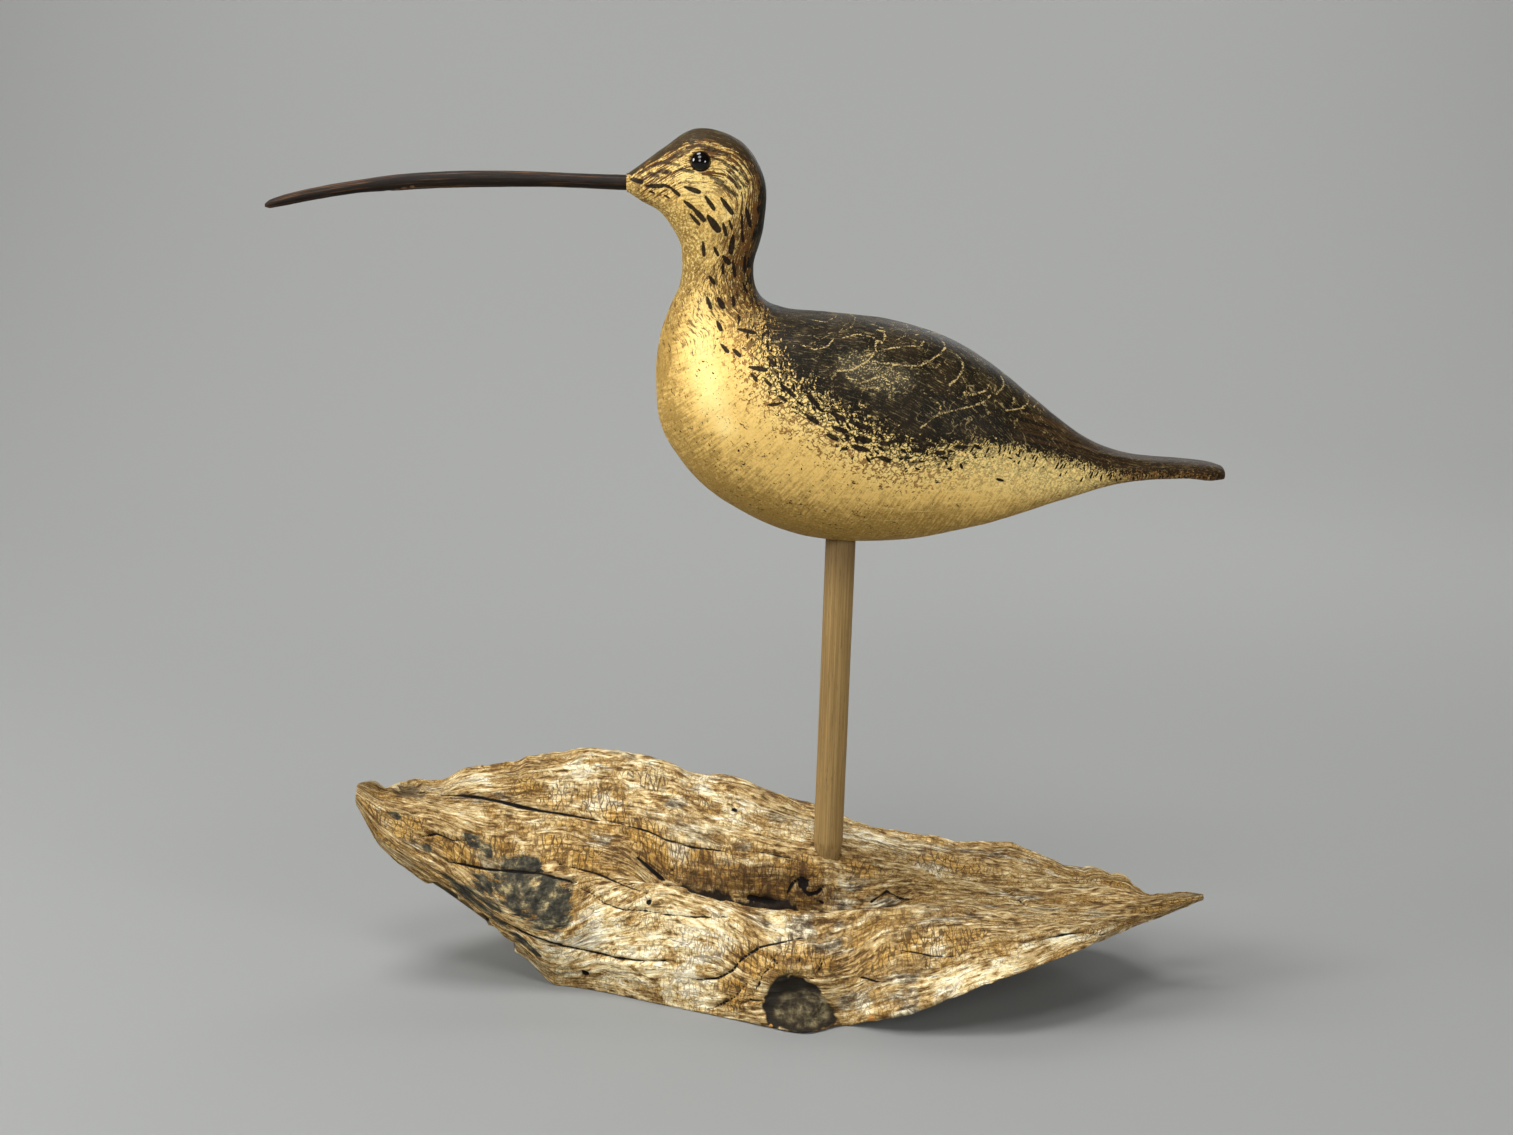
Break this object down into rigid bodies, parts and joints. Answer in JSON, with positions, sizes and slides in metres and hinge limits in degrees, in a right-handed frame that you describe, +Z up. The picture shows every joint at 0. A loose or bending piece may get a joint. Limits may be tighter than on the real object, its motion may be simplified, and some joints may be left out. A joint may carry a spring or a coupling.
{
  "type": "shorebird decoy",
  "caption": "Carved and painted curlew decoy with a long drooping bill, held up by a round wooden dowel in a piece of weathered driftwood.",
  "frame": {"origin": "on the table, in the plane of the driftwood's flat underside, at the point where the dowel's centreline meets it", "axes": "+Z up; the bird faces -X, so its tail is towards +X and its left side faces -Y; the bird's middle plane is y = 0"},
  "size_m": [0.4944, 0.1782, 0.456],
  "materials": {
    "painted_body": "worn satin paint over carved wood, cream below and dark brown above",
    "dark_bill": "dark brown stain, satin",
    "eye_glass": "polished black glass",
    "dowel_wood": "bare, darkened wood",
    "driftwood": "bare, weathered and cracked"
  },
  "bodies": {
    "root": {"carved_body": "painted_body", "bill": "dark_bill", "left_eye": "eye_glass", "right_eye": "eye_glass", "dowel": "dowel_wood", "driftwood_base": "driftwood"}
  },
  "joints": []
}
